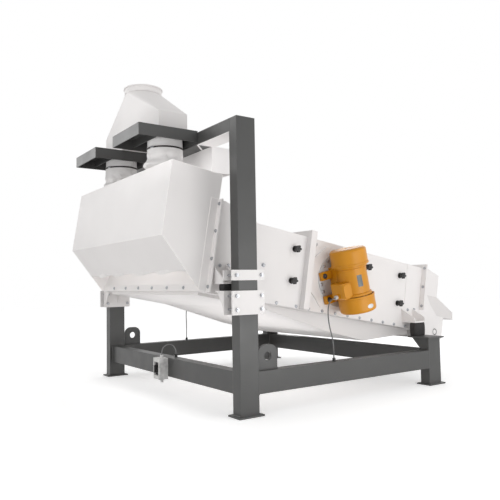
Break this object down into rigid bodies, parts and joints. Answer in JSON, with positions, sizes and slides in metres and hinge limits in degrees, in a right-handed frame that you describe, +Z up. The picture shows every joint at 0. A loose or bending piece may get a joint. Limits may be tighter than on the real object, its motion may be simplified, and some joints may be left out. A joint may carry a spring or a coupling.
{
  "type": "vibrating sieve",
  "caption": "Inclined vibrating sieve on a grey tube stand: white feed box under a gantry chute, side vibration motors, rubber springs and discharge chutes.",
  "frame": {"origin": "centre of the four feet on the floor", "axes": "+X towards the discharge end, +Z up, right side at -Y when looking along +X"},
  "size_m": [3.099, 2.4628, 2.4857],
  "materials": {
    "stand_grey": "satin dark grey paint",
    "white_paint": "satin white powder coat",
    "motor_orange": "satin orange paint",
    "black_plastic": "matte",
    "cable_grey": "matte",
    "steel": "plain steel",
    "screen_wood": "sealed",
    "sleeve_cloth": "woven",
    "flap_cloth": "coated",
    "band_dark": "dark",
    "rubber": "matte",
    "box_grey": "matte"
  },
  "bodies": {
    "stand": {"arm_left": "stand_grey", "arm_right": "stand_grey", "front_rail": "stand_grey", "lifting_lugs": "stand_grey", "post_left": "stand_grey", "post_right": "stand_grey", "rear_leg_left": "stand_grey", "rear_leg_right": "stand_grey", "rear_rail": "stand_grey", "side_rail_left": "stand_grey", "side_rail_right": "stand_grey", "top_beam": "stand_grey", "beam_hood": "white_paint", "chute": "white_paint", "chute_collar": "white_paint", "inlet_pipe_right": "white_paint", "inlet_pipe_left": "white_paint", "sleeve_right": "sleeve_cloth", "sleeve_left": "sleeve_cloth", "sleeve_bands": "band_dark", "clamp_right": "white_paint", "clamp_left": "white_paint", "clamp_bolts": "steel", "rubber_springs": "rubber", "switch_box": "box_grey", "cable_glands": "black_plastic", "cable_right": "cable_grey", "cable_left": "cable_grey", "cable_switch": "cable_grey"},
    "sieve_body": {"accepts_outlet": "white_paint", "body_bolts": "steel", "bottom_pan": "white_paint", "feed_box": "white_paint", "feed_flap": "flap_cloth", "feed_strip": "white_paint", "motor_left": "motor_orange", "motor_mount_left": "white_paint", "motor_mount_right": "white_paint", "motor_right": "motor_orange", "overs_chute": "white_paint", "screen_lower": "screen_wood", "screen_upper": "screen_wood", "side_wall_left": "white_paint", "side_wall_right": "white_paint", "tail_hood": "white_paint", "top_cover": "white_paint"},
    "rotor_right": {"rotor_right": "steel"},
    "rotor_left": {"rotor_left": "steel"},
    "switch_handle": {"switch_handle": "black_plastic"},
    "knob_1_left": {"knob_1_left": "black_plastic"},
    "knob_1_right": {"knob_1_right": "black_plastic"},
    "knob_2_left": {"knob_2_left": "black_plastic"},
    "knob_2_right": {"knob_2_right": "black_plastic"},
    "knob_3_left": {"knob_3_left": "black_plastic"},
    "knob_3_right": {"knob_3_right": "black_plastic"},
    "knob_4_left": {"knob_4_left": "black_plastic"},
    "knob_4_right": {"knob_4_right": "black_plastic"},
    "knob_5_left": {"knob_5_left": "black_plastic"},
    "knob_5_right": {"knob_5_right": "black_plastic"}
  },
  "joints": [
    {"name": "vibration", "type": "slide", "parent": "stand", "child": "sieve_body", "axis": [0.9767, 0, 0.2147], "range_m": [-0.003, 0.003], "stiffness_N_per_m": 2000000, "springref_m": 0.00108, "deforming": ["rubber_springs", "sleeve_right", "sleeve_left", "cable_right", "cable_left"]},
    {"name": "rotor_right_spin", "type": "hinge", "parent": "sieve_body", "child": "rotor_right", "pos_m": [0.1088, -1.085, 0.89059], "axis": [-0.2147, 0, 0.9767], "continuous": true},
    {"name": "rotor_left_spin", "type": "hinge", "parent": "sieve_body", "child": "rotor_left", "pos_m": [0.1088, 1.085, 0.89059], "axis": [-0.2147, 0, 0.9767], "continuous": true},
    {"name": "switch_turn", "type": "hinge", "parent": "stand", "child": "switch_handle", "pos_m": [-1.0727, -0.034, 0.203], "axis": [-1, 0, 0], "range_deg": [0, 90]},
    {"name": "knob_1_right_turn", "type": "hinge", "parent": "sieve_body", "child": "knob_1_right", "pos_m": [-0.33019, -0.94, 1.13351], "axis": [0, -1, 0], "continuous": true},
    {"name": "knob_1_left_turn", "type": "hinge", "parent": "sieve_body", "child": "knob_1_left", "pos_m": [-0.33019, 0.94, 1.13351], "axis": [0, 1, 0], "continuous": true},
    {"name": "knob_2_right_turn", "type": "hinge", "parent": "sieve_body", "child": "knob_2_right", "pos_m": [0.4424, -0.94, 0.99728], "axis": [0, -1, 0], "continuous": true},
    {"name": "knob_2_left_turn", "type": "hinge", "parent": "sieve_body", "child": "knob_2_left", "pos_m": [0.4424, 0.94, 0.99728], "axis": [0, 1, 0], "continuous": true},
    {"name": "knob_3_right_turn", "type": "hinge", "parent": "sieve_body", "child": "knob_3_right", "pos_m": [0.85749, -0.94, 0.92409], "axis": [0, -1, 0], "continuous": true},
    {"name": "knob_3_left_turn", "type": "hinge", "parent": "sieve_body", "child": "knob_3_left", "pos_m": [0.85749, 0.94, 0.92409], "axis": [0, 1, 0], "continuous": true},
    {"name": "knob_4_right_turn", "type": "hinge", "parent": "sieve_body", "child": "knob_4_right", "pos_m": [-0.37273, -0.94, 0.89223], "axis": [0, -1, 0], "continuous": true},
    {"name": "knob_4_left_turn", "type": "hinge", "parent": "sieve_body", "child": "knob_4_left", "pos_m": [-0.37273, 0.94, 0.89223], "axis": [0, 1, 0], "continuous": true},
    {"name": "knob_5_right_turn", "type": "hinge", "parent": "sieve_body", "child": "knob_5_right", "pos_m": [0.81495, -0.94, 0.68281], "axis": [0, -1, 0], "continuous": true},
    {"name": "knob_5_left_turn", "type": "hinge", "parent": "sieve_body", "child": "knob_5_left", "pos_m": [0.81495, 0.94, 0.68281], "axis": [0, 1, 0], "continuous": true}
  ],
  "couplings": [
    {"joint": "rotor_left_spin", "follows": "rotor_right_spin", "ratio": -1}
  ]
}
